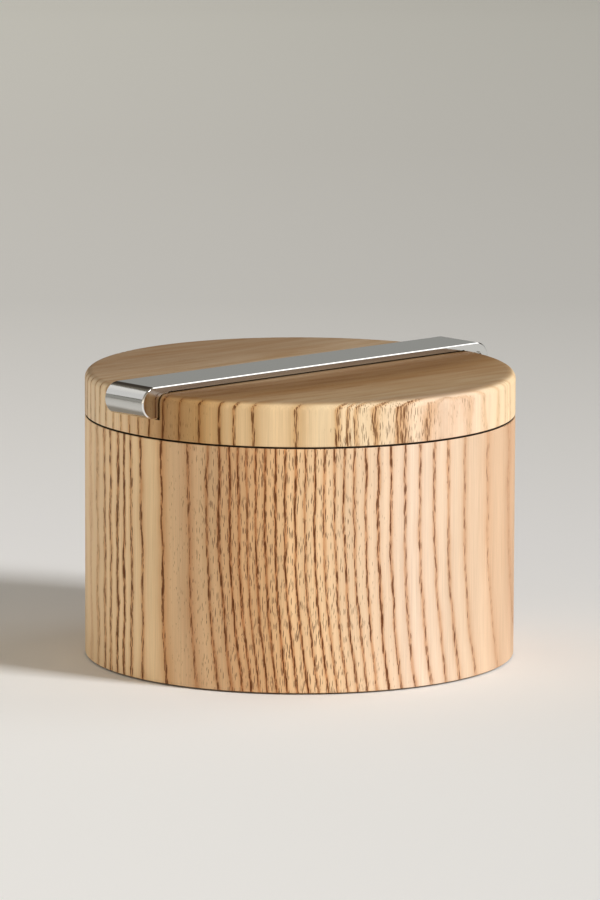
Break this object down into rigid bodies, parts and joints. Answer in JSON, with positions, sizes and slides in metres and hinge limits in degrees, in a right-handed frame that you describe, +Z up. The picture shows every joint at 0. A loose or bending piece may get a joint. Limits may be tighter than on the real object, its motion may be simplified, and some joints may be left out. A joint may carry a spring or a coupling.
{
  "type": "salt box with hinged lid",
  "caption": "Round wooden salt box with a thick wooden lid, held by a flat polished steel bar whose front nose is the finger lip and whose rear nose is the hinge knuckle.",
  "frame": {"origin": "centre of the flat face that the box stands on", "axes": "+Z up; +Y towards the hinge at the back, -Y towards the finger lip; +X to the right when seen from the front; the hinge axis is parallel to X"},
  "size_m": [0.114, 0.124, 0.0783],
  "materials": {
    "box_wood": "pale open-pored wood, oiled, matt",
    "lid_wood": "open-pored wood, oiled, matt, a little yellower",
    "bar_steel": "polished, faint lengthwise grain",
    "bracket_steel": "brushed",
    "fastener_steel": "turned, bright",
    "pad_rubber": "matt",
    "seal_rubber": "matt",
    "bush_plastic": "natural, matt",
    "insert_brass": "turned"
  },
  "bodies": {
    "box": {"body": "box_wood", "base_pad": "pad_rubber", "hinge_bracket": "bracket_steel", "hinge_bush_left": "bush_plastic", "hinge_bush_right": "bush_plastic", "bracket_screws": "fastener_steel", "bracket_inserts": "insert_brass"},
    "lid": {"lid": "lid_wood", "lid_seal": "seal_rubber", "handle_bar": "bar_steel", "bar_studs": "fastener_steel", "stud_washers": "fastener_steel", "stud_nuts": "fastener_steel", "hinge_pin": "fastener_steel"}
  },
  "joints": [
    {"name": "lid_hinge", "type": "hinge", "parent": "box", "child": "lid", "pos_m": [0, 0.0578, 0.0741], "axis": [-1, 0, 0], "range_deg": [0, 100]}
  ]
}
